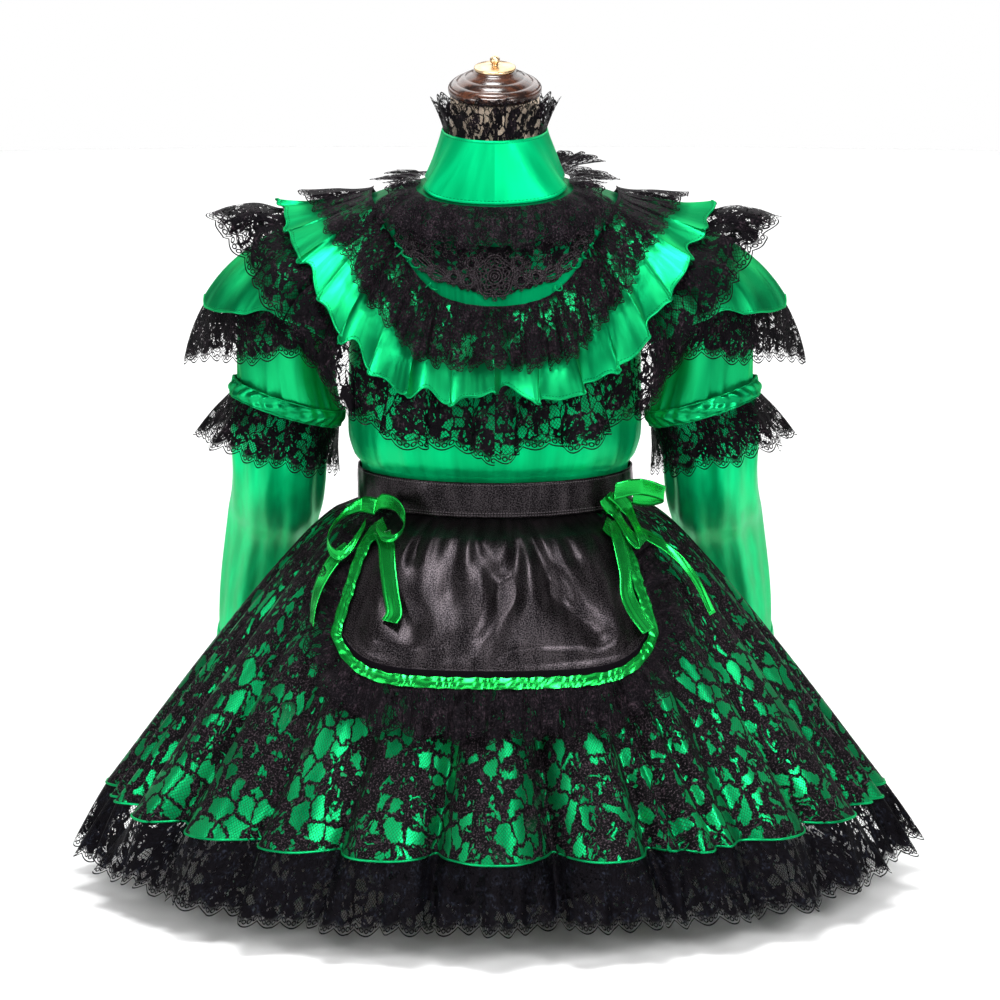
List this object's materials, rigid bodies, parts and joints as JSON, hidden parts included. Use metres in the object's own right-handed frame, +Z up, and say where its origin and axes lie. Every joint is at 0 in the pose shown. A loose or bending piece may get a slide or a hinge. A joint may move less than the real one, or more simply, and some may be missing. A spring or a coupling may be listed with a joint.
{
  "type": "maid dress on a dress form",
  "caption": "Green and black maid dress with lace flounces, puff sleeves and a gathered apron, worn by a limbless dress form on a round base.",
  "frame": {"origin": "centre of the base's underside, on the floor", "axes": "+Z up, -Y to the front of the dress, +X to the wearer's left, seen at the right in front view"},
  "size_m": [1.0341, 0.8586, 0.9959],
  "materials": {
    "green_satin": "smooth satin",
    "black_satin": "satin",
    "black_lace": "matt lace",
    "yoke_green": "matt woven",
    "ribbon_green": "glossy satin ribbon",
    "linen": "matt linen",
    "dark_wood": "polished dark stain",
    "brass": "polished",
    "dark_metal": "matt black"
  },
  "bodies": {
    "root": {"form_torso": "linen", "stand_base": "dark_metal", "stand_pole": "dark_metal", "neck_cap": "dark_wood", "cap_finial": "brass", "collar": "green_satin", "collar_lace": "black_lace", "neck_ruffle": "black_lace", "yoke_front": "yoke_green", "yoke_back": "yoke_green", "yoke_applique": "black_lace", "bodice_front": "green_satin", "bodice_back_left": "green_satin", "bodice_back_right": "green_satin", "bertha_lace": "black_lace", "bertha_satin": "green_satin", "bertha_top_lace": "black_lace", "waistband": "black_satin", "skirt_front": "green_satin", "skirt_back": "green_satin", "hem_lace_front": "black_lace", "hem_lace_back": "black_lace", "apron": "black_satin", "apron_ribbon": "ribbon_green", "apron_lace": "black_lace", "bow_right_curl": "ribbon_green", "bow_right_loop": "ribbon_green", "bow_right_tail_inner": "ribbon_green", "bow_right_tail_outer": "ribbon_green", "bow_left_loop_low": "ribbon_green", "bow_left_loop_high": "ribbon_green", "bow_left_tail_inner": "ribbon_green", "bow_left_tail_outer": "ribbon_green", "puff_left": "green_satin", "puff_band_left": "green_satin", "puff_lace_left": "black_lace", "sleeve_left": "green_satin", "cuff_left": "green_satin", "cap_lace_left": "black_lace", "cap_satin_left": "green_satin", "puff_right": "green_satin", "puff_band_right": "green_satin", "puff_lace_right": "black_lace", "sleeve_right": "green_satin", "cuff_right": "green_satin", "cap_lace_right": "black_lace", "cap_satin_right": "green_satin"}
  },
  "joints": []
}
